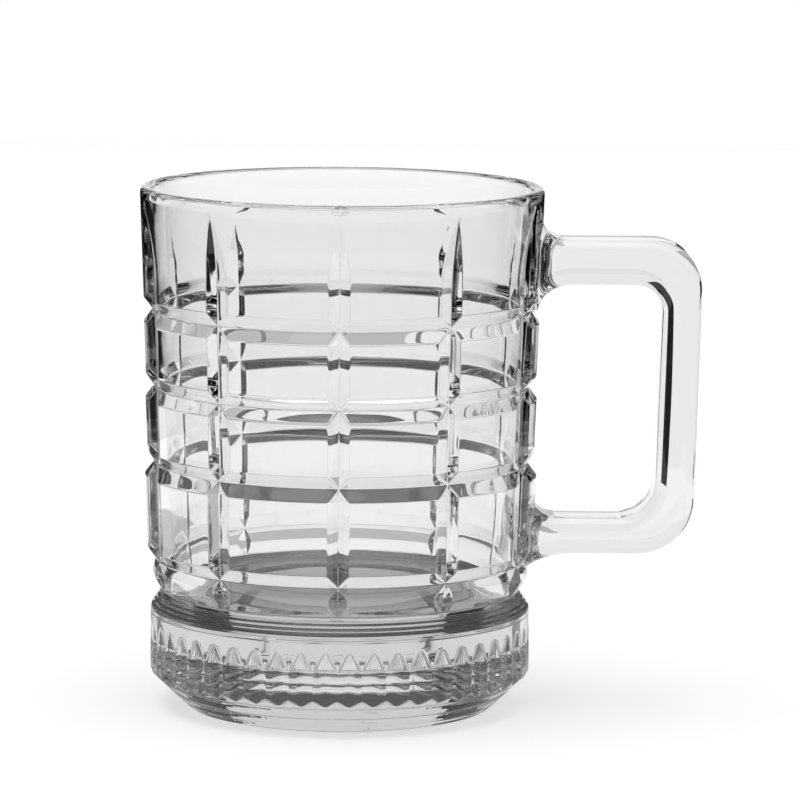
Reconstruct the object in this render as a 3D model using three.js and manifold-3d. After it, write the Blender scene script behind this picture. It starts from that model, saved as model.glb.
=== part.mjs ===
// Clear glass mug: a heavy-bottomed bowl pressed with a mitred windowpane pattern,
// and a square-cornered handle fused to its side at two flared roots.
// Millimetres, Z up. The origin lies on the bowl's axis in the plane it stands on,
// and the handle points along +X.

import * as THREE from "three";
import { mergeVertices } from "three/addons/utils/BufferGeometryUtils.js";
import Module from "manifold-3d";

// Bowl, outside
const mugHeight = 110;
const rimRadius = 42.5;
const rimThickness = 2.6;
const upperRowRadius = 41.7; // each row of panes is set by the radius of its upper edge
const middleRowRadius = 41.35;
const lowerRowRadius = 41.4;
const paneLean = 0.033; // how far a pane leans out for each millimetre of height

// Foot
const baseRadius = 32.2; // flat that stands on the table
const footRadius = 40.1;
const footChamferHeight = 7.5;
const footRounding = 1.7; // length rounded off on each side of the chamfer's upper edge
const footHeight = 21.1; // top of the straight band
const shoulderRounding = 0.7;
const shoulderRise = 3.8; // from the band up to the waist
const waistRadius = 37.6;
const beadRadius = 39.5; // rounded bead between the waist and the lowest ring
const beadRise = 6.4; // from the waist up to the lowest ring

// Bowl, inside
const baseThickness = 24;
const cavityFloorRadius = 35.2; // where the inner wall would meet the floor
const cavityCorner = 6.5;

// Mitred rings around the bowl
const ringDepth = 1.85;
const ringWidth = 5.1;
const lowerPaneHeight = 20.6; // from ring to ring
const middlePaneHeight = 16.15;

// Mitred uprights that divide the panes
// Their angles are in degrees from the front, turning towards the handle: they were set out by eye,
// so the panes differ a little in width.
const uprightAngles = [-76.8, -38.8, 0, 34.5, 71.8, 108.8, 145.5, 181.5, 216.5, 250.5];
const uprightDepth = 1.85;
const uprightWidth = 4.72;
const uprightDraft = 0.62; // in front, an upright opens at this share of its angle from the front
const uprightStraight = 4.95; // full depth above the top ring, before an upright fades out
const uprightTipDrop = 3; // from the rim down to an upright's tip
const backRunOut = 6; // length over which an upright of the back half fades out, lower down
const uprightToeDepth = 1.6; // depth in the bead, where an upright ends at the waist

// Flutes around the foot
const fluteCount = 50;
const fluteDepth = 1.2;
const fluteTopDrop = 3; // from the top of the band down to the flutes' points
const flutePoint = 3.9; // length of the pointed upper end

// Handle
const handleReach = 32.9; // from the rim out to the grip's outer face
const handleDepth = 14;
const handleRounding = 2.8;
const topBarDrop = 10.5; // from the rim down to the top bar
const topBarThickness = 9.6;
const gripThickness = 8.2;
const gripLean = 0.0146; // how far the grip leans out for each millimetre of height
const bottomBarLift = 1.7; // from the lowest ring up to the bottom bar
const bottomBarThickness = 7.7;
const topOuterCorner = 10.5;
const topInnerCorner = 5.5;
const bottomOuterCorner = 12;
const bottomInnerCorner = 8.5;

// Fillets that spread the handle's roots onto the bowl: reach along the bar, spread along the wall
const topRootAbove = { reach: 4.5, spread: 4.7 };
const topRootBelow = { reach: 7, spread: 5.7 };
const bottomRootAbove = { reach: 4.7, spread: 3.6 };
const bottomRootBelow = { reach: 11.5, spread: 6.2 };
const rootSideSpread = 2.6;
const rootClearance = 0.3; // between a root's saddle and the bowl

// Smoothness
const turnSegments = 2 * fluteCount; // a facet edge on every flute's floor and ridge
const arcSteps = 6;
const cornerSteps = 4;

const waistHeight = footHeight + shoulderRise;
const lowestRing = waistHeight + beadRise;
const ringHeights = [
  lowestRing,
  lowestRing + lowerPaneHeight,
  lowestRing + lowerPaneHeight + middlePaneHeight,
  lowestRing + lowerPaneHeight + 2 * middlePaneHeight,
];
const rowTops = [...ringHeights.slice(1), mugHeight];
const rowRadii = [lowerRowRadius, middleRowRadius, upperRowRadius, rimRadius];
const fluteStep = (2 * Math.PI) / fluteCount;
const rimRounding = rimThickness / 2;
const cutterMargin = 3; // how far a cutter stands clear of the surface it cuts

const wasm = await Module();
wasm.setup();

// Radius of the panes at a height, each row leaning out from its lower edge
function wallRadius(height) {
  const row = Math.max(0, rowTops.findIndex((top) => height <= top));
  return rowRadii[row] - paneLean * (rowTops[row] - height);
}

// Closed solid from a geometry whose triangles all point outwards
function toSolid(geometry) {
  const bare = geometry.clone();
  bare.deleteAttribute("normal");
  bare.deleteAttribute("uv");
  const merged = mergeVertices(bare, 1e-5);
  const index = merged.getIndex().array;
  const kept = [];
  for (let i = 0; i < index.length; i += 3) {
    const [a, b, c] = [index[i], index[i + 1], index[i + 2]];
    if (a !== b && b !== c && c !== a) kept.push(a, b, c);
  }
  const mesh = new wasm.Mesh({
    numProp: 3,
    vertProperties: new Float32Array(merged.getAttribute("position").array),
    triVerts: new Uint32Array(kept),
  });
  return new wasm.Manifold(mesh);
}

function toGeometry(solid) {
  const mesh = solid.getMesh();
  const geometry = new THREE.BufferGeometry();
  geometry.setAttribute("position", new THREE.BufferAttribute(mesh.vertProperties, 3));
  geometry.setIndex(new THREE.BufferAttribute(mesh.triVerts, 1));
  geometry.computeVertexNormals();
  return geometry;
}

// Profile of (radius, height) points turned about the Z axis
function revolve(profile) {
  const geometry = new THREE.LatheGeometry(profile, turnSegments);
  geometry.rotateX(Math.PI / 2);
  return toSolid(geometry);
}

// Skin over a row of sections with equal numbers of points, closed by a flat cap at each end
function loft(sections) {
  const count = sections[0].length;
  const positions = sections.flat().flatMap((point) => point.toArray());
  const index = [];
  for (let row = 0; row + 1 < sections.length; row += 1) {
    for (let i = 0; i < count; i += 1) {
      const next = (i + 1) % count;
      const [a, b] = [row * count + i, row * count + next];
      index.push(a, b, b + count, a, b + count, a + count);
    }
  }
  const last = (sections.length - 1) * count;
  for (let i = 1; i + 1 < count; i += 1) {
    index.push(0, i + 1, i);
    index.push(last, last + i, last + i + 1);
  }
  const geometry = new THREE.BufferGeometry();
  geometry.setAttribute("position", new THREE.Float32BufferAttribute(positions, 3));
  geometry.setIndex(index);
  return toSolid(geometry);
}

// Outline of the bowl's outside, from the centre of the base up to the widest point of the rim
function outerProfile() {
  const chamferFoot = new THREE.Vector2(baseRadius, 0);
  const chamferTop = new THREE.Vector2(footRadius, footChamferHeight);
  const chamferDirection = chamferTop.clone().sub(chamferFoot).normalize();
  const chamferCurve = new THREE.QuadraticBezierCurve(
    chamferTop.clone().addScaledVector(chamferDirection, -footRounding),
    chamferTop,
    new THREE.Vector2(footRadius, footChamferHeight + footRounding),
  );
  const waist = new THREE.Vector2(waistRadius, waistHeight);
  const bandTop = new THREE.Vector2(footRadius, footHeight);
  const shoulderDirection = waist.clone().sub(bandTop).normalize();
  const shoulderCurve = new THREE.QuadraticBezierCurve(
    new THREE.Vector2(footRadius, footHeight - shoulderRounding),
    bandTop,
    bandTop.clone().addScaledVector(shoulderDirection, shoulderRounding),
  );
  const lowestFloor = new THREE.Vector2(wallRadius(lowestRing) - ringDepth, lowestRing);
  const beadCurve = new THREE.QuadraticBezierCurve(
    waist,
    new THREE.Vector2(
      2 * beadRadius - (waistRadius + lowestFloor.x) / 2,
      (waistHeight + lowestRing) / 2,
    ),
    lowestFloor,
  );
  const points = [
    new THREE.Vector2(0, 0),
    chamferFoot,
    ...chamferCurve.getPoints(3),
    ...shoulderCurve.getPoints(2),
    ...beadCurve.getPoints(arcSteps),
  ];
  const halfRing = ringWidth / 2;
  ringHeights.forEach((height, ring) => {
    const above = wallRadius(height + halfRing);
    if (ring > 0) {
      const below = wallRadius(height - halfRing);
      points.push(new THREE.Vector2(below, height - halfRing));
      points.push(new THREE.Vector2((below + above) / 2 - ringDepth, height));
    }
    points.push(new THREE.Vector2(above, height + halfRing));
  });
  points.push(new THREE.Vector2(rimRadius, mugHeight - rimRounding));
  return points;
}

// Rounded lip, tapered inner wall, and floor with a rounded corner
function innerProfile() {
  const lip = new THREE.EllipseCurve(
    rimRadius - rimRounding,
    mugHeight - rimRounding,
    rimRounding,
    rimRounding,
    0,
    Math.PI,
    false,
  );
  const wallTop = new THREE.Vector2(rimRadius - rimThickness, mugHeight - rimRounding);
  const corner = new THREE.Vector2(cavityFloorRadius, baseThickness);
  const wallDirection = wallTop.clone().sub(corner).normalize();
  const cornerCurve = new THREE.QuadraticBezierCurve(
    corner.clone().addScaledVector(wallDirection, cavityCorner),
    corner,
    new THREE.Vector2(cavityFloorRadius - cavityCorner, baseThickness),
  );
  return [
    ...lip.getPoints(arcSteps).slice(1),
    ...cornerCurve.getPoints(arcSteps),
    new THREE.Vector2(0, baseThickness),
  ];
}

// Point of a cutter at a radius, a sideways offset and a height, in the plane facing an angle
function cutterPoint(angle, radius, offset, height) {
  return new THREE.Vector3(
    radius * Math.cos(angle) - offset * Math.sin(angle),
    radius * Math.sin(angle) + offset * Math.cos(angle),
    height,
  );
}

// Wedge with its sharp edge along a floor of (radius, height) points at one angle,
// opening outwards towards another
function mitreCutter(floor, angle, flankSlope, facing) {
  const reach = Math.max(...floor.map((point) => point.x)) + 2 * cutterMargin;
  const sections = floor.map((point) => {
    const edge = cutterPoint(angle, point.x, 0, point.y);
    const depth = reach - point.x;
    const half = depth * flankSlope;
    return [
      edge,
      cutterPoint(facing, depth, -half, 0).add(edge),
      cutterPoint(facing, depth, half, 0).add(edge),
    ];
  });
  return loft(sections);
}

// Floor of an upright: out of the bead at the waist, along the wall, and out below the rim
function uprightFloor(onBack) {
  const halfRing = ringWidth / 2;
  const fadeStart = ringHeights[ringHeights.length - 1] + halfRing + uprightStraight;
  const runOut = onBack ? backRunOut : mugHeight - uprightTipDrop - fadeStart;
  const floor = [
    new THREE.Vector2(waistRadius + 0.1, waistHeight - 0.2),
    new THREE.Vector2(beadRadius - uprightToeDepth, waistHeight + beadRise / 2),
  ];
  ringHeights.forEach((height, ring) => {
    const [below, above] = [height - halfRing, height + halfRing];
    if (ring > 0) floor.push(new THREE.Vector2(wallRadius(below) - uprightDepth, below));
    floor.push(new THREE.Vector2(wallRadius(above) - uprightDepth, above));
  });
  for (let step = 0; step <= arcSteps + 1; step += 1) {
    const share = step / arcSteps;
    const height = fadeStart + share * runOut;
    floor.push(new THREE.Vector2(wallRadius(height) - uprightDepth * (1 - share ** 2), height));
  }
  return floor;
}

// Floor of a flute: straight up out of the chamfer, then sloping out to a point
function fluteFloor() {
  const tip = footHeight - fluteTopDrop;
  const slope = fluteDepth / flutePoint;
  const overrun = 0.8;
  return [
    new THREE.Vector2(footRadius - fluteDepth, footChamferHeight / 2),
    new THREE.Vector2(footRadius - fluteDepth, tip - flutePoint),
    new THREE.Vector2(footRadius + slope * overrun, tip + overrun),
  ];
}

function buildBowl() {
  const blank = revolve([...outerProfile(), ...innerProfile()]);
  const uprightSlope = uprightWidth / 2 / uprightDepth;
  // The mould's front part draws off forwards; behind, each upright opens straight out
  const uprights = uprightAngles.map((fromFront) => {
    const onBack = fromFront > 90;
    const angle = THREE.MathUtils.degToRad(fromFront - 90);
    const facing = onBack ? angle : THREE.MathUtils.degToRad(uprightDraft * fromFront - 90);
    return mitreCutter(uprightFloor(onBack), angle, uprightSlope, facing);
  });
  // Neighbouring flutes meet in a sharp ridge just under the band's surface
  const fluteSlope = (0.485 * fluteStep * footRadius) / fluteDepth;
  const flutes = [];
  for (let i = 0; i < fluteCount; i += 1) {
    flutes.push(mitreCutter(fluteFloor(), i * fluteStep, fluteSlope, i * fluteStep));
  }
  const cutters = [...uprights, ...flutes].reduce((all, cutter) => all.add(cutter));
  return blank.subtract(cutters);
}

// Quarter of an ellipse, from one angle to another
function quarter(centreX, centreZ, sizeX, sizeZ, from, to) {
  const curve = new THREE.EllipseCurve(centreX, centreZ, sizeX, sizeZ, from, to, to < from);
  return curve.getPoints(arcSteps);
}

// Upper and outer edge of the handle in its middle plane, from the top root to the bottom root
function outerRail(edges) {
  const { top, bottom, topX, bottomX } = edges;
  const above = topRootAbove;
  const below = bottomRootBelow;
  const topWall = wallRadius(top + above.spread);
  const bottomWall = (waistRadius + beadRadius) / 2 - 0.5;
  const [r1, r2] = [topOuterCorner, bottomOuterCorner];
  const [right, up, left, down] = [0, Math.PI / 2, Math.PI, 1.5 * Math.PI];
  return [
    ...quarter(topWall + above.reach, top + above.spread, above.reach, above.spread, left, down),
    ...quarter(topX - r1, top - r1, r1, r1, up, right),
    ...quarter(bottomX - r2, bottom + r2, r2, r2, right, -up),
    ...quarter(bottomWall + below.reach, bottom - below.spread, below.reach, below.spread, up, left),
  ];
}

// Edge of the handle round the finger gap, station by station beside the outer edge
function innerRail(edges) {
  const top = edges.top - topBarThickness;
  const bottom = edges.bottom + bottomBarThickness;
  const topX = edges.topX - gripThickness;
  const bottomX = edges.bottomX - gripThickness;
  const below = topRootBelow;
  const above = bottomRootAbove;
  const topWall = wallRadius(top - below.spread);
  const bottomWall = wallRadius(bottom + above.spread);
  const [r1, r2] = [topInnerCorner, bottomInnerCorner];
  const [right, up, left, down] = [0, Math.PI / 2, Math.PI, 1.5 * Math.PI];
  return [
    ...quarter(topWall + below.reach, top - below.spread, below.reach, below.spread, left, up),
    ...quarter(topX - r1, top - r1, r1, r1, up, right),
    ...quarter(bottomX - r2, bottom + r2, r2, r2, right, -up),
    ...quarter(bottomWall + above.reach, bottom + above.spread, above.reach, above.spread, down, left),
  ];
}

// Rounded rectangle across the handle between a point on each rail
function handleSection(inner, outer, halfDepth, rounding) {
  const across = outer.clone().sub(inner);
  const half = across.length() / 2;
  const direction = across.normalize();
  const middle = inner.clone().add(outer).multiplyScalar(0.5);
  const radius = Math.min(rounding, 0.9 * half, 0.9 * halfDepth);
  const points = [];
  for (let corner = 0; corner < 4; corner += 1) {
    const [signA, signB] = [
      [1, 1],
      [-1, 1],
      [-1, -1],
      [1, -1],
    ][corner];
    for (let step = 0; step <= cornerSteps; step += 1) {
      const angle = ((corner + step / cornerSteps) * Math.PI) / 2;
      const a = signA * (half - radius) + radius * Math.cos(angle);
      const b = signB * (halfDepth - radius) + radius * Math.sin(angle);
      points.push(new THREE.Vector3(middle.x + direction.x * a, -b, middle.y + direction.y * a));
    }
  }
  return points;
}

function buildHandle() {
  const top = mugHeight - topBarDrop;
  const bottom = lowestRing + bottomBarLift;
  const topX = rimRadius + handleReach;
  const edges = { top, bottom, topX, bottomX: topX - gripLean * (top - bottom) };
  const outer = outerRail(edges);
  const inner = innerRail(edges);
  const last = outer.length - 1;
  const sections = outer.map((point, station) => {
    const fromEnd = Math.min(station, last - station, arcSteps) / arcSteps;
    const spread = 1 - Math.sin((fromEnd * Math.PI) / 2);
    const halfDepth = handleDepth / 2 + rootSideSpread * spread;
    const rounding = handleRounding * (1 + spread);
    return handleSection(inner[station], point, halfDepth, rounding);
  });
  // The roots run on into the bowl, where its outline cuts their saddles
  const inwards = new THREE.Vector3(-2 * cutterMargin, 0, 0);
  sections.unshift(sections[0].map((point) => point.clone().add(inwards)));
  sections.push(sections[sections.length - 1].map((point) => point.clone().add(inwards)));
  const outline = outerProfile().map((point) => {
    const radius = point.x > 0 ? point.x + rootClearance : 0;
    return new THREE.Vector2(radius, point.y);
  });
  outline.push(new THREE.Vector2(0, mugHeight - rimRounding));
  return loft(sections).subtract(revolve(outline));
}

function glassMesh(name, solid, color) {
  const material = new THREE.MeshStandardMaterial({ color, roughness: 0.05, metalness: 0 });
  const mesh = new THREE.Mesh(toGeometry(solid), material);
  mesh.name = name;
  return mesh;
}

const mug = new THREE.Group();
mug.name = "glass_mug";
mug.add(glassMesh("mug_body", buildBowl(), 0xe6edee));
mug.add(glassMesh("handle", buildHandle(), 0xe3ebec));

export default mug;
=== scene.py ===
import math

import bpy
import numpy as np
from mathutils import Matrix, Vector


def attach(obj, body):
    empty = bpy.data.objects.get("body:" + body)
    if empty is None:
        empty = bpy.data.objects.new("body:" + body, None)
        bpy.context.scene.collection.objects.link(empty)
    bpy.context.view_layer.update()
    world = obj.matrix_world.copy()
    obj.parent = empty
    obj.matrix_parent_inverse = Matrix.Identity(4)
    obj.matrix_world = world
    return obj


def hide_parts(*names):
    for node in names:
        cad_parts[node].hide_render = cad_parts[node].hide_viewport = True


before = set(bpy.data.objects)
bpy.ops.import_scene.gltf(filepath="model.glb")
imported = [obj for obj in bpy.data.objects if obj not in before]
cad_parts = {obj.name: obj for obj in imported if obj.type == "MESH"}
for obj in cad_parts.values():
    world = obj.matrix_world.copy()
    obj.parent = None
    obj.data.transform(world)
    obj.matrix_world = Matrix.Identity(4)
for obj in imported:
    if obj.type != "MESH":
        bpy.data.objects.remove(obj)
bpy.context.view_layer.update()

# The bowl with its heavy foot: clear soda-lime glass, pressed hot in one mould that leaves the
# V rings, the uprights, the bead, the waist and the flutes, then fire-polished, so that every
# crease is softly rounded. Sizes are in millimetres, and angles run from the front to the handle.
mm = 0.001
mug_height = 110.0
lip_radius = 41.2
lip_half = 1.3
lip_start = mug_height - lip_half

ring_heights = np.array([31.3, 51.9, 68.05, 84.2])
ring_half = 2.55
notch_depth = 1.85
row_tops = np.append(ring_heights[1:], mug_height)
row_radii = np.array([41.4, 41.35, 41.7, 42.5])
pane_lean = 0.033

base_radius = 32.2
foot_radius = 40.1
chamfer_height = 7.5
foot_height = 21.1
waist_radius = 37.6
waist_height = 24.9
bead_radius = 39.5

upright_angles = np.array([-76.8, -38.8, 0.0, 34.5, 71.8, 108.8, 145.5, 181.5, 216.5, 250.5])
upright_half = 2.36
upright_draft = 0.62
upright_tip = 107.0
back_upright_tip = 97.7
fade_start = 91.7
toe_depth = 1.6

flute_count = 50
flute_depth = 1.2
flute_tip = 18.1
flute_point = 3.9

cavity_floor = 24.0
cavity_radius = 35.2
cavity_corner = 6.5

# How far the polish rounds each kind of crease
crease = 0.16
notch_floor_round = 0.05
upright_floor_round = 0.12
chamfer_round = 0.5
shoulder_round = 0.35
bead_round = 0.25
waist_round = 0.3
flute_crease = 0.07
flute_floor_round = 0.05

# A radius beyond the glass, where no wedge cuts
no_cut = 1e3


def soft_min(a, b, blend):
    """The smaller of two radii, rounded over where they meet."""
    overlap = np.clip(blend - np.abs(a - b), 0.0, None) / blend
    return np.minimum(a, b) - 0.25 * blend * overlap ** 2


def soft_max(a, b, blend):
    return -soft_min(-a, -b, blend)


pane_z = []
pane_r = []
for row, top in enumerate(row_tops):
    last = row == len(row_tops) - 1
    for z in (ring_heights[row] + ring_half, lip_start if last else top - ring_half):
        pane_z.append(z)
        pane_r.append(row_radii[row] - pane_lean * (top - z))
pane_r[-1] = lip_radius + lip_half
lowest_floor = row_radii[0] - pane_lean * (row_tops[0] - ring_heights[0]) - notch_depth


def pane_wall(z):
    return np.interp(z, pane_z, pane_r)


def ring_notch(z, height):
    below, above = pane_wall(height - ring_half), pane_wall(height + ring_half)
    floor = 0.5 * (below + above) - notch_depth
    share = (z - height) / ring_half
    edge = np.where(share < 0, below, above)
    return floor + (edge - floor) * np.sqrt(share ** 2 + notch_floor_round ** 2)


def bead(z):
    share = (z - waist_height) / (ring_heights[0] - waist_height)
    pull = 2 * bead_radius - 0.5 * (waist_radius + lowest_floor)
    rest = 1 - share
    return waist_radius * rest ** 2 + 2 * pull * share * rest + lowest_floor * share ** 2


# Fine lines that the mould leaves round the chamfer and the shoulder: height and depth of each
mould_lines = [(1.2, 0.18), (3.1, 0.2), (5.5, 0.2), (20.3, 0.06), (22.0, 0.08), (22.9, 0.12),
               (23.8, 0.08)]
mould_line_width = 0.24


def foot_wall(z):
    chamfer = base_radius + z * (foot_radius - base_radius) / chamfer_height
    shoulder_slope = (foot_radius - waist_radius) / (waist_height - foot_height)
    shoulder = foot_radius - (z - foot_height) * shoulder_slope
    wall = soft_min(soft_min(chamfer, foot_radius, chamfer_round), shoulder, shoulder_round)
    for height, depth in mould_lines:
        wall = wall - depth * np.exp(-((z - height) / mould_line_width) ** 2)
    return wall


def turned_wall(z):
    lowest_flank_slope = (pane_r[0] - lowest_floor) / ring_half
    flank = lowest_floor + (z - ring_heights[0]) * lowest_flank_slope
    body = soft_min(soft_max(bead(z), flank, bead_round), pane_wall(z), crease)
    for height in ring_heights[1:]:
        body = soft_min(body, ring_notch(z, height), crease)
    return soft_max(foot_wall(z), body, waist_round)


past_tip = 1.4
toe_drop = 0.2
toe_lift = 0.1
brim_margin = 0.1


def upright_floor(z, tip):
    """Radius of an upright's floor, which runs out at its tip, more gently on the back ones."""
    share = np.clip((z - fade_start) / (tip - fade_start), 0.0, past_tip)
    if tip == upright_tip:
        depth_share = 1 - share ** 2
    else:
        depth_share = (1 - share) * np.abs(1 - share)
    on_wall = pane_wall(z) - notch_depth * depth_share
    path_z = [waist_height - toe_drop, 0.5 * (waist_height + ring_heights[0]), ring_heights[0]]
    path_r = [waist_radius + toe_lift, bead_radius - toe_depth, lowest_floor]
    in_bead = np.interp(z, path_z + [pane_z[0]], path_r + [pane_r[0] - notch_depth])
    return np.where(z < pane_z[0], in_bead, on_wall)


def upright_brim(z, tip):
    """Radius up to which an upright's flanks are drawn on the mesh."""
    middle = 0.5 * (waist_height + ring_heights[0])
    blend = np.clip((z - middle) / (ring_heights[0] - middle), 0.0, 1.0)
    low = bead(z) * (1 - blend) + (lowest_floor + notch_depth) * blend
    above_tip = brim_margin * (1 + np.clip(z - tip, 0.0, None))
    return np.maximum(np.where(z < ring_heights[0], low, pane_wall(z)),
                      upright_floor(z, tip) + above_tip)


# The mould's front part draws off forwards, so a front upright at the side opens partly that
# way: one flank is steep and short, and the other long. Behind, each upright opens straight out.
half_opening = math.atan2(upright_half, notch_depth)
uprights = []
for from_front in upright_angles:
    behind = from_front > 90
    facing = math.radians(from_front if behind else upright_draft * from_front)
    directions = [np.array([math.sin(facing + side * half_opening),
                            -math.cos(facing + side * half_opening)]) for side in (-1, 1)]
    tip = back_upright_tip if behind else upright_tip
    uprights.append((math.radians(from_front), directions, tip))


def flank_radius(angle, floor, upright, direction):
    """Where a flank that leaves an upright's floor in a direction meets the ray at an angle."""
    across = np.array([direction[1], -direction[0]])
    start = floor * (math.sin(upright) * across[0] - math.cos(upright) * across[1])
    return start / (np.sin(angle) * across[0] - np.cos(angle) * across[1])


def flank_angles(z, upright, direction, tip):
    """Angles at which the notch steps lie on a flank at a height, from the floor outwards."""
    floor = float(upright_floor(np.array(z), tip))
    brim = float(upright_brim(np.array(z), tip))
    start = floor * np.array([math.sin(upright), -math.cos(upright)])
    along = float(start @ direction)
    reach = -along + math.sqrt(along ** 2 + brim ** 2 - floor ** 2)
    points = start + np.outer(notch_steps * reach, direction)
    return np.arctan2(points[:, 0], -points[:, 1])


flute_step = 2 * math.pi / flute_count
flute_pitch = flute_step * foot_radius
flute_share = 0.485
flute_half = flute_share * flute_pitch
least_flute_width = 0.06
flute_end_room = 1.0
flute_slope = flute_depth / flute_half


def flute_floor(z):
    rise = np.clip(z - (flute_tip - flute_point), 0.0, None)
    return foot_radius - flute_depth + rise * flute_depth / flute_point


def flute_width(z):
    width = (foot_wall(z) - flute_floor(z)) / flute_slope
    return np.clip(width, least_flute_width, flute_half)


upright_reach = 0.35
room_below, room_above = 0.3, 0.5


def bowl_surface(angle, z):
    """Outer radius at an angle from the front, in radians, and a height."""
    radius = turned_wall(z)
    wedge = np.full(np.shape(angle), no_cut)
    for upright, (left, right), tip in uprights:
        floor = upright_floor(z, tip)
        turn = (angle - upright + math.pi) % (2 * math.pi) - math.pi
        near = np.clip(turn, -upright_reach, upright_reach)
        flanks = soft_max(flank_radius(upright + near, floor, upright, left),
                          flank_radius(upright + near, floor, upright, right),
                          upright_floor_round)
        cut = ((np.abs(turn) < upright_reach) & (z > waist_height - room_below)
               & (z < tip + room_above))
        wedge = np.where(cut, np.minimum(wedge, flanks), wedge)
    radius = soft_min(radius, wedge, crease)
    from_valley = np.abs((angle / flute_step) % 1.0 - 0.5) * flute_pitch
    offset = np.sqrt(from_valley ** 2 + flute_floor_round ** 2)
    wedge = flute_floor(z) + flute_slope * offset
    wedge = np.where(z > foot_height - flute_end_room, no_cut, wedge)
    return soft_min(radius, wedge, flute_crease)


# Mesh lines follow the notches: the same steps across every ring and every upright, so that
# their mitres run through the corners of the mesh.
notch_steps = np.array([0, 0.04, 0.1, 0.2, 0.34, 0.5, 0.66, 0.8, 0.9, 0.96, 1.0, 1.05, 1.12])
sector_count = len(upright_angles)
sector_columns = 40
column_count = sector_count * sector_columns
pane_columns = sector_columns - 2 * (len(notch_steps) - 1) - 1

mould_line_steps = (-1.7, -0.75, 0, 0.75, 1.7)
row_list = [
    [height + mould_line_width * step
     for height, _ in mould_lines for step in mould_line_steps],
    [0.3, 2.1, 4.3],
    np.linspace(6.2, 8.2, 10),
    [8.8, 9.6, 10.6, 11.8, 13.0, 13.8],
    np.linspace(flute_tip - flute_point, flute_tip, 11),
    [18.5, 19.1, 19.7, 20.9, 21.1, 21.3, 22.45, 23.35, 24.3, 24.6],
    [24.8, 24.95, 25.1, 25.3, 25.6, 26.1, 26.7, 27.4, 28.1, 28.9],
    ring_heights[0] - 2.0 * notch_steps[1:9],
    ring_heights[0] + ring_half * notch_steps,
]
for height in ring_heights[1:]:
    row_list.append(height - ring_half * notch_steps)
    row_list.append(height + ring_half * notch_steps)
reach = ring_half * notch_steps[-1]
for bottom, top, count in zip(ring_heights, row_tops, (6, 4, 4, 15)):
    end = lip_start + 0.4 if top == mug_height else top - reach
    row_list.append(np.linspace(bottom + reach, end, count + 2)[1:-1])
wall_rows = np.unique(np.round(np.concatenate([np.ravel(part) for part in row_list]), 4))


def smooth_step(value, start, end):
    share = np.clip((value - start) / (end - start), 0.0, 1.0)
    return share * share * (3 - 2 * share)


first_column = math.radians(-72.0)
flutes_fade_start = foot_height - 2.2
flutes_fade_end = waist_height - 0.3


def column_angles(z, to_even):
    """Angles of the mesh columns at a height, drawn towards even spacing at the lip."""
    step = 2 * math.pi / column_count
    even = first_column + step * np.arange(column_count)
    drawn = []
    for sector in range(sector_count):
        here, (_, right), tip = uprights[sector]
        after, (left, _), next_tip = uprights[(sector + 1) % sector_count]
        rising = flank_angles(z, here, right, tip) - here
        rising = here + (rising + math.pi) % (2 * math.pi) - math.pi
        falling = flank_angles(z, after, left, next_tip)[::-1]
        falling = here + (falling - here) % (2 * math.pi)
        between = np.linspace(rising[-1], falling[0], pane_columns + 2)[1:-1]
        drawn.append(np.concatenate([rising, between, falling[:-1]]))
    drawn = np.concatenate(drawn)
    vee = float(flute_width(np.array(z)))
    gap = flute_pitch - 2 * vee
    marks = [0, gap / 4, gap / 2, gap / 2 + 0.4 * vee, gap / 2 + vee, gap / 2 + 1.6 * vee,
             gap / 2 + 2 * vee, gap / 2 + 2 * vee + gap / 4]
    starts = first_column + flute_step * np.arange(flute_count)
    fluted = (starts[:, None] + np.array(marks)[None, :] / foot_radius).ravel()
    on_foot = 1 - smooth_step(z, flutes_fade_start, flutes_fade_end)
    angles = fluted * on_foot + drawn * (1 - on_foot)
    return angles * (1 - to_even) + even * to_even


def place(radius, angle, z):
    return np.stack([radius * np.sin(angle), -radius * np.cos(angle),
                     np.broadcast_to(z, np.shape(radius))], axis=-1)


def bezier(start, pull, end, count):
    share = np.linspace(0, 1, count)[:, None]
    start, pull, end = np.array(start), np.array(pull), np.array(end)
    return start * (1 - share) ** 2 + 2 * pull * share * (1 - share) + end * share ** 2


class GlassSkin:
    """Closed skin gathered ring by ring, from the middle of the base to the cavity's floor."""

    def __init__(self):
        self.points = []
        self.faces = []

    def add(self, coordinates):
        first = len(self.points)
        self.points.extend(map(tuple, coordinates))
        return np.arange(first, len(self.points))

    def band(self, low, high, split=None):
        turn = np.arange(len(low))
        after = np.roll(turn, -1)
        quads = np.stack([low[turn], low[after], high[after], high[turn]], axis=-1)
        for i, (a, b, c, d) in enumerate(quads.tolist()):
            if split is None or split[i] == 0:
                self.faces.append((a, b, c, d))
            elif split[i] == 1:
                self.faces += [(a, b, c), (a, c, d)]
            else:
                self.faces += [(a, b, d), (b, c, d)]

    def halve(self, fine, coarse):
        count = len(coarse)
        for i in range(count):
            a, b, c = fine[2 * i], fine[2 * i + 1], fine[(2 * i + 2) % len(fine)]
            d, e = coarse[i], coarse[(i + 1) % count]
            self.faces += [(int(a), int(b), int(d)), (int(b), int(e), int(d)),
                           (int(b), int(c), int(e))]

    def close(self, ring, centre, upwards):
        middle = int(self.add([centre])[0])
        for a, b in zip(ring.tolist(), np.roll(ring, -1).tolist()):
            self.faces.append((a, b, middle) if upwards else (b, a, middle))


base_rings = ((12.0, 0), (24.0, 0), (31.0, 0), (31.9, 0), (32.25, 0.1))
inner_floor_radii = (28.2, 24.0, 16.0, 8.0)
even_start = upright_tip - 0.2
split_gain = 0.003

skin = GlassSkin()
foot_angles = column_angles(wall_rows[0], 0.0)
ring = None
for radius, z in base_rings:
    before, ring = ring, skin.add(place(np.full(column_count, radius), foot_angles, z))
    if before is None:
        skin.close(ring, (0, 0, 0), upwards=False)
    else:
        skin.band(before, ring)

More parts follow.
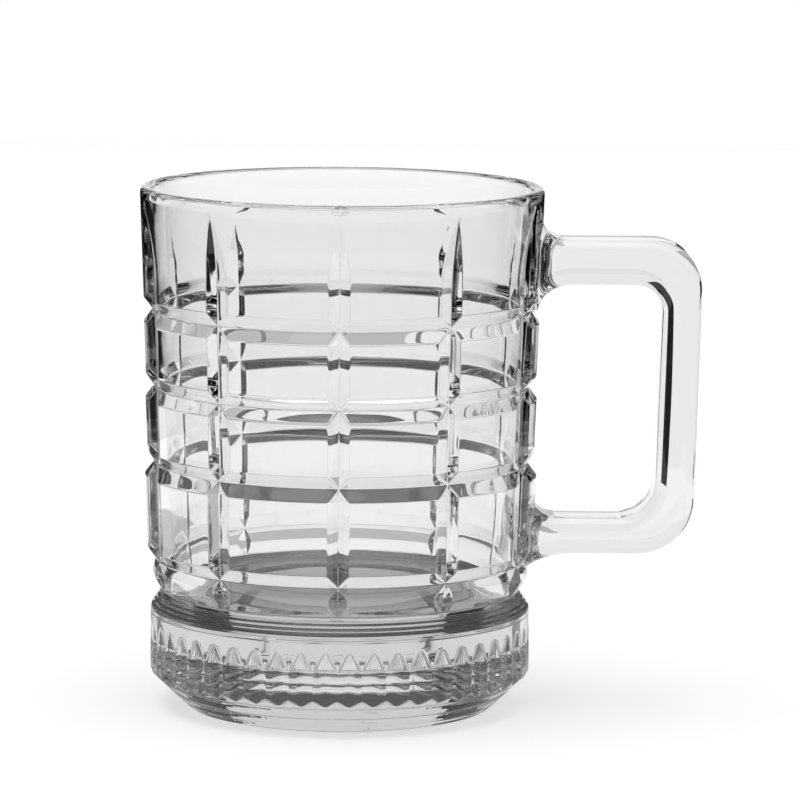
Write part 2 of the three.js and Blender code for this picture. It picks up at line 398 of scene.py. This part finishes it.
last_angles = foot_angles
last_radii = None
for z in wall_rows:
    to_even = float(smooth_step(z, even_start, mug_height))
    angles = column_angles(z, to_even)
    radii = bowl_surface(angles, np.full(column_count, z))
    before, ring = ring, skin.add(place(radii, angles, z))
    split = None
    if last_radii is not None:
        # A quad that a crease crosses is divided along the diagonal that lies closer to the glass
        next_angles = np.append(angles[1:], angles[0] + 2 * math.pi)
        next_last = np.append(last_angles[1:], last_angles[0] + 2 * math.pi)
        mid_angle = 0.25 * (angles + next_angles + last_angles + next_last)
        true = bowl_surface(mid_angle, np.full(column_count, 0.5 * (z + last_z)))
        one = np.abs(true - 0.5 * (last_radii + np.roll(radii, -1)))
        two = np.abs(true - 0.5 * (np.roll(last_radii, -1) + radii))
        split = np.where(np.abs(one - two) < split_gain, 0, np.where(one < two, 1, 2))
    skin.band(before, ring, split)
    last_angles, last_radii, last_z = angles, radii, z

lip_turns = np.linspace(0, math.pi, 11)[1:]
for turn in lip_turns:
    z = lip_start + lip_half * math.sin(turn)
    to_even = float(smooth_step(turn, -0.6, 0.5 * math.pi))
    angles = column_angles(lip_start, to_even)
    radii = np.full(column_count, lip_radius + lip_half * math.cos(turn))
    before, ring = ring, skin.add(place(radii, angles, z))
    skin.band(before, ring)

inner_angles = column_angles(lip_start, 1.0)[::2]
inner_top = np.array([lip_radius - lip_half, lip_start])
corner = np.array([cavity_radius, cavity_floor])
along = (inner_top - corner) / np.linalg.norm(inner_top - corner)
corner_end = corner + along * cavity_corner
inner_path = [inner_top + (corner_end - inner_top) * share
              for share in np.linspace(0, 1, 13)[1:-1]]
inner_path += list(bezier(corner_end, corner, corner - np.array([cavity_corner, 0]), 13))
inner_path += [np.array([radius, cavity_floor]) for radius in inner_floor_radii]
for step, (radius, z) in enumerate(inner_path):
    points = place(np.full(column_count // 2, radius), inner_angles, z)
    before, ring = ring, skin.add(points)
    if step == 0:
        skin.halve(before, ring)
    else:
        skin.band(before, ring)
skin.close(ring, (0, 0, cavity_floor), upwards=True)


def inner_wall(z):
    """Radius of the cavity at a height on its straight wall."""
    share = (z - cavity_floor) / (lip_start - cavity_floor)
    return cavity_radius + (inner_top[0] - cavity_radius) * share


def mesh_of(name, points, faces):
    mesh = bpy.data.meshes.new(name)
    mesh.from_pydata([tuple(mm * value for value in point) for point in points], [], faces)
    mesh.validate()
    mesh.update()
    return mesh


bowl_mesh = mesh_of("bowl_pressing", skin.points, skin.faces)


def clear_glass(name, tint, depth_tint=None):
    """Pressed clear glass: nearly colourless, with faint ripple and polish marks from the mould."""
    material = bpy.data.materials.new(name)
    material.use_nodes = True
    nodes, links = material.node_tree.nodes, material.node_tree.links
    glass = nodes["Principled BSDF"]
    glass.inputs["Base Color"].default_value = (*tint, 1.0)
    glass.inputs["Transmission Weight"].default_value = 1.0
    glass.inputs["IOR"].default_value = 1.5
    place_on = nodes.new("ShaderNodeTexCoord")
    polish = nodes.new("ShaderNodeTexNoise")
    polish.inputs["Scale"].default_value = 140.0
    polish.inputs["Detail"].default_value = 3.0
    roughness = nodes.new("ShaderNodeMapRange")
    roughness.inputs["From Min"].default_value = 0.35
    roughness.inputs["From Max"].default_value = 0.75
    roughness.inputs["To Min"].default_value = 0.0
    roughness.inputs["To Max"].default_value = 0.03
    links.new(place_on.outputs["Object"], polish.inputs["Vector"])
    links.new(polish.outputs["Fac"], roughness.inputs["Value"])
    links.new(roughness.outputs["Result"], glass.inputs["Roughness"])
    ripple = nodes.new("ShaderNodeTexNoise")
    ripple.inputs["Scale"].default_value = 70.0
    ripple.inputs["Detail"].default_value = 1.0
    bump = nodes.new("ShaderNodeBump")
    bump.inputs["Strength"].default_value = 0.12
    bump.inputs["Distance"].default_value = 0.0005
    links.new(place_on.outputs["Object"], ripple.inputs["Vector"])
    links.new(ripple.outputs["Fac"], bump.inputs["Height"])
    links.new(bump.outputs["Normal"], glass.inputs["Normal"])
    if depth_tint:
        body = nodes.new("ShaderNodeVolumeAbsorption")
        body.inputs["Color"].default_value = (*depth_tint, 1.0)
        body.inputs["Density"].default_value = 10.0
        links.new(body.outputs["Volume"], nodes["Material Output"].inputs["Volume"])
    return material


bowl_glass_finish = clear_glass("bowl_glass_finish", (0.925, 0.928, 0.927), (0.5, 0.512, 0.508))

# The handle: a bar of the same glass with a rounded square section, pressed with the bowl's
# side and fused to it hot at two flared roots, one below the rim and one above the foot.
bar_top = 99.5
top_bar = 9.6
bar_bottom = 33.0
bottom_bar = 7.7
grip_outer_top = 75.4
grip_lean = 0.0146
grip_outer_bottom = grip_outer_top - grip_lean * (bar_top - bar_bottom)
grip_width = 8.2
handle_half_depth = 7.0
handle_round = 2.8
root_side_spread = 2.6
root_sink = 0.35
root_end_depth = 1.1
low_root_radius = 0.5 * (waist_radius + bead_radius) - 0.5
least_wrap_radius = 30.0
outer_corners = (10.5, 12.0)
inner_corners = (5.5, 8.5)
top_root_above = (4.5, 4.7)
top_root_below = (7.0, 5.7)
bottom_root_above = (4.7, 3.6)
bottom_root_below = (11.5, 6.2)
root_steps = 16
corner_steps = 14
bar_steps = 6
grip_steps = 10


def quarter(centre, size, start, end, count):
    turns = np.linspace(math.radians(start), math.radians(end), count + 1)
    return np.stack([centre[0] + size[0] * np.cos(turns), centre[1] + size[1] * np.sin(turns)], 1)


def rail(top, bottom, top_x, bottom_x, corners, top_root, bottom_root, outside):
    """One edge of the handle in its middle plane, from the top root to the bottom root."""
    side = 1 if outside else -1
    wall = float(pane_wall(top + side * top_root[1])) - root_sink
    top_arc = quarter((wall + top_root[0], top + side * top_root[1]), top_root,
                      180, 270 if outside else 90, root_steps)
    low_wall = low_root_radius if outside else float(pane_wall(bottom + bottom_root[1]))
    low_wall -= root_sink
    low_arc = quarter((low_wall + bottom_root[0], bottom - side * bottom_root[1]), bottom_root,
                      90 if outside else -90, 180 if outside else -180, root_steps)
    first = quarter((top_x - corners[0], top - corners[0]), (corners[0],) * 2, 90, 0, corner_steps)
    second = quarter((bottom_x - corners[1], bottom + corners[1]), (corners[1],) * 2, 0, -90,
                     corner_steps)
    path = [top_arc]
    for arc, count in ((first, bar_steps), (second, grip_steps), (low_arc, bar_steps)):
        shares = np.linspace(0, 1, count + 2)[1:-1, None]
        path.append(path[-1][-1] * (1 - shares) + arc[0] * shares)
        path.append(arc)
    return np.concatenate(path)


outer_rail = rail(bar_top, bar_bottom, grip_outer_top, grip_outer_bottom, outer_corners,
                  top_root_above, bottom_root_below, outside=True)
inner_rail = rail(bar_top - top_bar, bar_bottom + bottom_bar, grip_outer_top - grip_width,
                  grip_outer_bottom - grip_width, inner_corners, top_root_below,
                  bottom_root_above, outside=False)


def bar_section(inner, outer, half_depth, rounding):
    """Rounded rectangle across the bar, with a guard point beside every rounded corner."""
    across = outer - inner
    half = 0.5 * np.linalg.norm(across)
    direction = across / (2 * half)
    middle = 0.5 * (inner + outer)
    rounding = min(rounding, 0.9 * half, 0.9 * half_depth)
    flat_a, flat_b = half - rounding, half_depth - rounding
    guard = 0.25
    outline = []
    for turn, (sign_a, sign_b) in enumerate(((1, 1), (-1, 1), (-1, -1), (1, -1))):
        centre = np.array([sign_a * flat_a, sign_b * flat_b])
        turns = np.radians(90 * turn + np.linspace(0, 90, 9))
        arc = centre + rounding * np.stack([np.cos(turns), np.sin(turns)], 1)
        lead = arc[0] - guard * np.array([-math.sin(turns[0]), math.cos(turns[0])])
        trail = arc[-1] + guard * np.array([-math.sin(turns[-1]), math.cos(turns[-1])])
        outline += [lead, *arc, trail]
    outline = np.array(outline)
    return np.stack([middle[0] + direction[0] * outline[:, 0], -outline[:, 1],
                     middle[1] + direction[1] * outline[:, 0]], axis=-1)


sections = []
station_count = len(outer_rail)
for station in range(station_count):
    from_end = min(station, station_count - 1 - station, root_steps) / root_steps
    spread = 1 - math.sin(0.5 * math.pi * from_end)
    section = bar_section(inner_rail[station], outer_rail[station],
                          handle_half_depth + root_side_spread * spread,
                          handle_round * (1 + spread))
    # The root is wrapped round the bowl
    bowl_at = np.maximum(section[:, 0].min(), least_wrap_radius)
    section[:, 0] -= spread * (bowl_at - np.sqrt(bowl_at ** 2 - section[:, 1] ** 2))
    sections.append(section)


def sunk_end(section):
    """The root's hidden end, inside the thickness of the wall."""
    depth = inner_wall(section[:, 2]) + root_end_depth
    sunk = section.copy()
    sunk[:, 0] = np.sqrt(depth ** 2 - section[:, 1] ** 2)
    return sunk


sections = [sunk_end(sections[0])] + sections + [sunk_end(sections[-1])]
around = len(sections[0])
handle_points = np.concatenate(sections)
handle_faces = []
for station in range(len(sections) - 1):
    for i in range(around):
        a, b = station * around + i, station * around + (i + 1) % around
        handle_faces.append((a, b, b + around, a + around))
handle_faces.append(tuple(reversed(range(around))))
handle_faces.append(tuple(range((len(sections) - 1) * around, len(sections) * around)))
handle_mesh = mesh_of("handle_bar", handle_points, handle_faces)
handle_glass_finish = clear_glass("handle_glass_finish", (0.81, 0.815, 0.815))

# The fused seam: bowl and handle are one body of glass at the roots, so the two skins are joined
# there with nothing between them. Each piece keeps the skin on its own side of the seam.
for mesh, index in ((bowl_mesh, 0), (handle_mesh, 1)):
    mesh.materials.append(bowl_glass_finish)
    mesh.materials.append(handle_glass_finish)
    mesh.polygons.foreach_set("material_index", [index] * len(mesh.polygons))
bowl_blank = bpy.data.objects.new("bowl_blank", bowl_mesh)
handle_blank = bpy.data.objects.new("handle_blank", handle_mesh)
for blank in (bowl_blank, handle_blank):
    bpy.context.scene.collection.objects.link(blank)
fuse = bowl_blank.modifiers.new("fuse", "BOOLEAN")
fuse.operation = "UNION"
fuse.solver = "MANIFOLD"
fuse.object = handle_blank
bpy.context.view_layer.update()
fused = bpy.data.meshes.new_from_object(
    bowl_blank.evaluated_get(bpy.context.evaluated_depsgraph_get()))
for blank in (bowl_blank, handle_blank):
    bpy.data.objects.remove(blank)
fused.polygons.foreach_set("use_smooth", [True] * len(fused.polygons))
fused_points = [vertex.co.copy() for vertex in fused.vertices]
fused_normals = [tuple(normal.vector) for normal in fused.vertex_normals]

for name, index, finish, node in (("bowl_glass", 0, bowl_glass_finish, "mug_body"),
                                  ("handle_glass", 1, handle_glass_finish, "handle")):
    faces = [tuple(face.vertices) for face in fused.polygons if face.material_index == index]
    used = sorted({vertex for face in faces for vertex in face})
    renumber = {vertex: i for i, vertex in enumerate(used)}
    mesh = bpy.data.meshes.new(name)
    mesh.from_pydata([fused_points[vertex] for vertex in used], [],
                     [tuple(renumber[vertex] for vertex in face) for face in faces])
    mesh.polygons.foreach_set("use_smooth", [True] * len(mesh.polygons))
    mesh.update()
    mesh.normals_split_custom_set_from_vertices([fused_normals[vertex] for vertex in used])
    mesh.materials.append(finish)
    piece = bpy.data.objects.new(name, mesh)
    bpy.context.scene.collection.objects.link(piece)
    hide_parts(node)
    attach(piece, "root")

# The studio: a white paper floor, a lit white backdrop and broad soft light from above. Dark
# sheets out of the picture show only in the glass and draw its edges: one round the mug paints
# dark reflections, one on each hand paints dark edges, and patches under and behind the mug paint
# its shadow as seen through the glass.
scene = bpy.context.scene


def looked_at(nodes, links):
    """1 for a ray of the camera, or one that glass or polish sends on, and 0 for stray light."""
    light_path = nodes.new("ShaderNodeLightPath")
    value = light_path.outputs["Is Camera Ray"]
    for name in ("Is Glossy Ray", "Is Transmission Ray"):
        either = nodes.new("ShaderNodeMath")
        either.operation = "MAXIMUM"
        links.new(value, either.inputs[0])
        links.new(light_path.outputs[name], either.inputs[1])
        value = either.outputs["Value"]
    return value


glow_near = 0.1
glow_far = 1.1


def paper(name, colour, glow, far_glow=None):
    """Matt paper; glow lifts it towards white where it is looked at, more so far from the mug,
    which leaves painted shade round the mug.
    """
    material = bpy.data.materials.new(name)
    material.use_nodes = True
    nodes, links = material.node_tree.nodes, material.node_tree.links
    nodes.remove(nodes["Principled BSDF"])
    out = nodes["Material Output"]
    matt = nodes.new("ShaderNodeBsdfDiffuse")
    matt.inputs["Color"].default_value = (colour, colour, colour, 1.0)
    if not glow:
        links.new(matt.outputs["BSDF"], out.inputs["Surface"])
        return material
    amount = nodes.new("ShaderNodeMath")
    amount.operation = "MULTIPLY"
    amount.inputs[1].default_value = glow
    links.new(looked_at(nodes, links), amount.inputs[0])
    # Less glow near the mug: painted shade round the mug
    if far_glow is not None:
        place_on = nodes.new("ShaderNodeTexCoord")
        distance = nodes.new("ShaderNodeVectorMath")
        distance.operation = "LENGTH"
        links.new(place_on.outputs["Object"], distance.inputs[0])
        lift = nodes.new("ShaderNodeMapRange")
        lift.inputs["From Min"].default_value = glow_near
        lift.inputs["From Max"].default_value = glow_far
        lift.inputs["To Min"].default_value = glow
        lift.inputs["To Max"].default_value = far_glow
        links.new(distance.outputs["Value"], lift.inputs["Value"])
        links.new(lift.outputs["Result"], amount.inputs[1])
    white = nodes.new("ShaderNodeEmission")
    links.new(amount.outputs["Value"], white.inputs["Strength"])
    both = nodes.new("ShaderNodeAddShader")
    links.new(matt.outputs["BSDF"], both.inputs[0])
    links.new(white.outputs["Emission"], both.inputs[1])
    links.new(both.outputs["Shader"], out.inputs["Surface"])
    return material


once_mirrored = 0.5
in_and_out = 2.5


def shown_to(material, mirrored):
    """Shows a dark sheet only to rays that glass has mirrored, or only to rays bent by one solid
    bar.

    Other rays pass through it, so that the glass stays clear where it is looked straight through;
    where it shows, it paints dark reflections or dark edges into the glass.
    """
    nodes, links = material.node_tree.nodes, material.node_tree.links
    out = nodes["Material Output"]
    dark_shader = out.inputs["Surface"].links[0].from_socket
    light_path = nodes.new("ShaderNodeLightPath")
    hidden = nodes.new("ShaderNodeMath")
    hidden.operation = "LESS_THAN" if mirrored else "GREATER_THAN"
    hidden.inputs[1].default_value = once_mirrored
    links.new(light_path.outputs["Glossy Depth"], hidden.inputs[0])
    if not mirrored:
        crossed = nodes.new("ShaderNodeMath")
        crossed.operation = "GREATER_THAN"
        crossed.inputs[1].default_value = in_and_out
        links.new(light_path.outputs["Transmission Depth"], crossed.inputs[0])
        either = nodes.new("ShaderNodeMath")
        either.operation = "MAXIMUM"
        links.new(hidden.outputs["Value"], either.inputs[0])
        links.new(crossed.outputs["Value"], either.inputs[1])
        hidden = either
    clear = nodes.new("ShaderNodeBsdfTransparent")
    choose = nodes.new("ShaderNodeMixShader")
    links.new(hidden.outputs["Value"], choose.inputs["Fac"])
    links.new(dark_shader, choose.inputs[1])
    links.new(clear.outputs["BSDF"], choose.inputs[2])
    links.new(choose.outputs["Shader"], out.inputs["Surface"])
    return material


def stage_sheet(name, points, finish, faces=None):
    mesh = bpy.data.meshes.new(name)
    mesh.from_pydata(points, [], faces or [tuple(range(len(points)))])
    mesh.update()
    mesh.materials.append(finish)
    sheet = bpy.data.objects.new(name, mesh)
    scene.collection.objects.link(sheet)
    return sheet


def upright_sheet(name, left, right, bottom, top, finish):
    """A sheet standing upright between two points of the plan."""
    return stage_sheet(name, [(*left, bottom), (*right, bottom), (*right, top), (*left, top)],
                       finish)


bend_steps = 36


def curved_sheet(name, radius, start, end, bottom, top, finish):
    """A sheet bent round the mug, between two angles from straight behind."""
    turns = [math.radians(start + (end - start) * step / bend_steps)
             for step in range(bend_steps + 1)]
    points = [(radius * math.sin(turn), radius * math.cos(turn), z)
              for turn in turns for z in (bottom, top)]
    faces = [(2 * i, 2 * i + 2, 2 * i + 3, 2 * i + 1) for i in range(bend_steps)]
    return stage_sheet(name, points, finish, faces)


# The floor glows less near the mug than far off, which paints a little shade round the mug, where
# its cast shadow lies.
floor_drop = -0.0002
stage_sheet("floor", [(-3, -3, floor_drop), (3, -3, floor_drop), (3, 5, floor_drop),
                      (-3, 5, floor_drop)], paper("paper_floor", 0.8, 0.45, 0.7))
upright_sheet("backdrop", (-0.6, 1.3), (0.6, 1.3), 0.0, 1.2, paper("paper_backdrop", 0.0, 1.0))
# Seen only by rays through one thickness of glass: painted dark edges in the glass
edge_shade_finish = shown_to(paper("edge_shade_finish", 0.03, 0.0), mirrored=False)
# Seen only in the glass's reflections: painted dark reflections
reflection_shade_finish = shown_to(paper("reflection_shade_finish", 0.02, 0.0), mirrored=True)
# Dark patches on the floor, seen only through the glass: painted shadow under and behind the mug
painted_shadow_under_mug = paper("painted_shadow_under_mug", 0.12, 0.08)
painted_shadow_under_front = paper("painted_shadow_under_front", 0.2, 0.25)
painted_shadow_behind_mug = paper("painted_shadow_behind_mug", 0.3, 0.35)


paper_turns = 6
ring_start = 78
handle_side = 0.038


def half_ring(inner, outer):
    """Outline of part of a ring on the floor behind the mug, clear of the handle's side."""
    turns = [math.radians(step) for step in range(ring_start, 181, paper_turns)]
    arc = [(outer * math.cos(turn), outer * math.sin(turn), 0.0) for turn in turns]
    return arc + [(inner * math.cos(turn), inner * math.sin(turn), 0.0)
                  for turn in reversed(turns)]


def half_disc(radius, behind):
    """Outline of half a disc on the floor, cut off short of the handle."""
    turns = [math.radians(step) for step in range(0, 181, paper_turns)]
    side = 1 if behind else -1
    return [(min(side * radius * math.cos(turn), handle_side), side * radius * math.sin(turn), 0.0)
            for turn in turns]


# A dark sheet round the mug, seen only in reflections: painted dark reflections
reflection_sheet_radius = 0.35
reflection_sheet_height = 0.4
reflection_sheet_gap = 18.5
# A dark sheet on each hand, seen only through the glass: painted dark edges
edge_sheet_radius = 0.3
edge_sheet_height = 0.15
edge_sheet_start = 20.5
edge_sheet_end = 36
unseen = [curved_sheet("painted_reflection_sheet", reflection_sheet_radius, reflection_sheet_gap, 360 - reflection_sheet_gap, 0.0,
                       reflection_sheet_height, reflection_shade_finish),
          curved_sheet("painted_left_edge_sheet", edge_sheet_radius, -edge_sheet_end, -edge_sheet_start, 0.0,
                       edge_sheet_height, edge_shade_finish),
          curved_sheet("painted_right_edge_sheet", edge_sheet_radius, edge_sheet_start, edge_sheet_end, 0.0,
                       edge_sheet_height, edge_shade_finish),
          # Painted shadow on the floor under and behind the mug
          stage_sheet("painted_shadow_under_front", half_disc(0.042, behind=False), painted_shadow_under_front),
          stage_sheet("painted_shadow_behind_mug", half_ring(0.106, 0.2), painted_shadow_behind_mug),
          stage_sheet("painted_shadow_under_mug", half_disc(0.07, behind=True), painted_shadow_under_mug)]
# Hidden from the camera, from diffuse light and from shadows: these sheets only paint shade seen in
# the glass
for sheet in unseen:
    sheet.visible_camera = False
    sheet.visible_diffuse = False
    sheet.visible_shadow = False

stray_level = 0.55
seen_level = 0.95
world = bpy.data.worlds.new("soft_studio")
scene.world = world
world.use_nodes = True
surround = world.node_tree.nodes["Background"]
surround.inputs["Color"].default_value = (1.0, 1.0, 1.0, 1.0)
world_level = world.node_tree.nodes.new("ShaderNodeMapRange")
world_level.inputs["To Min"].default_value = stray_level
world_level.inputs["To Max"].default_value = seen_level
world.node_tree.links.new(looked_at(world.node_tree.nodes, world.node_tree.links),
                          world_level.inputs["Value"])
world.node_tree.links.new(world_level.outputs["Result"], surround.inputs["Strength"])

lamp_side = 1.2
lamp_aim = Vector((0, 0, 0.05))
lamp_data = bpy.data.lights.new("overhead_soft_light", "AREA")
lamp_data.shape = "RECTANGLE"
lamp_data.size = lamp_side
lamp_data.size_y = lamp_side
lamp_data.energy = 6.0
lamp = bpy.data.objects.new("overhead_soft_light", lamp_data)
lamp.location = (-0.15, -0.1, 1.4)
lamp.rotation_euler = (lamp_aim - lamp.location).to_track_quat("-Z", "Y").to_euler()
scene.collection.objects.link(lamp)

# The camera looks a little down on the mug, from a distance, and leans by half a degree
camera_place = (0.012368, -1.055301, 0.214771)
camera_data = bpy.data.cameras.new("camera")
camera_data.sensor_width = 36.0
camera_data.lens = 227.66
camera_data.clip_end = 20.0
camera = bpy.data.objects.new("camera", camera_data)
scene.collection.objects.link(camera)
pitch = math.radians(8.093)
roll = math.radians(0.448)
ahead = Vector((0, math.cos(pitch), -math.sin(pitch)))
level_right = Vector((1, 0, 0))
level_up = Vector((0, math.sin(pitch), math.cos(pitch)))
right = math.cos(roll) * level_right + math.sin(roll) * level_up
up = -math.sin(roll) * level_right + math.cos(roll) * level_up
turn = Matrix((right, up, -ahead)).transposed().to_4x4()
camera.matrix_world = Matrix.Translation(camera_place) @ turn
scene.camera = camera

scene.view_settings.view_transform = "Standard"
scene.cycles.max_bounces = 32
scene.cycles.transmission_bounces = 32
scene.cycles.glossy_bounces = 12
scene.cycles.diffuse_bounces = 3
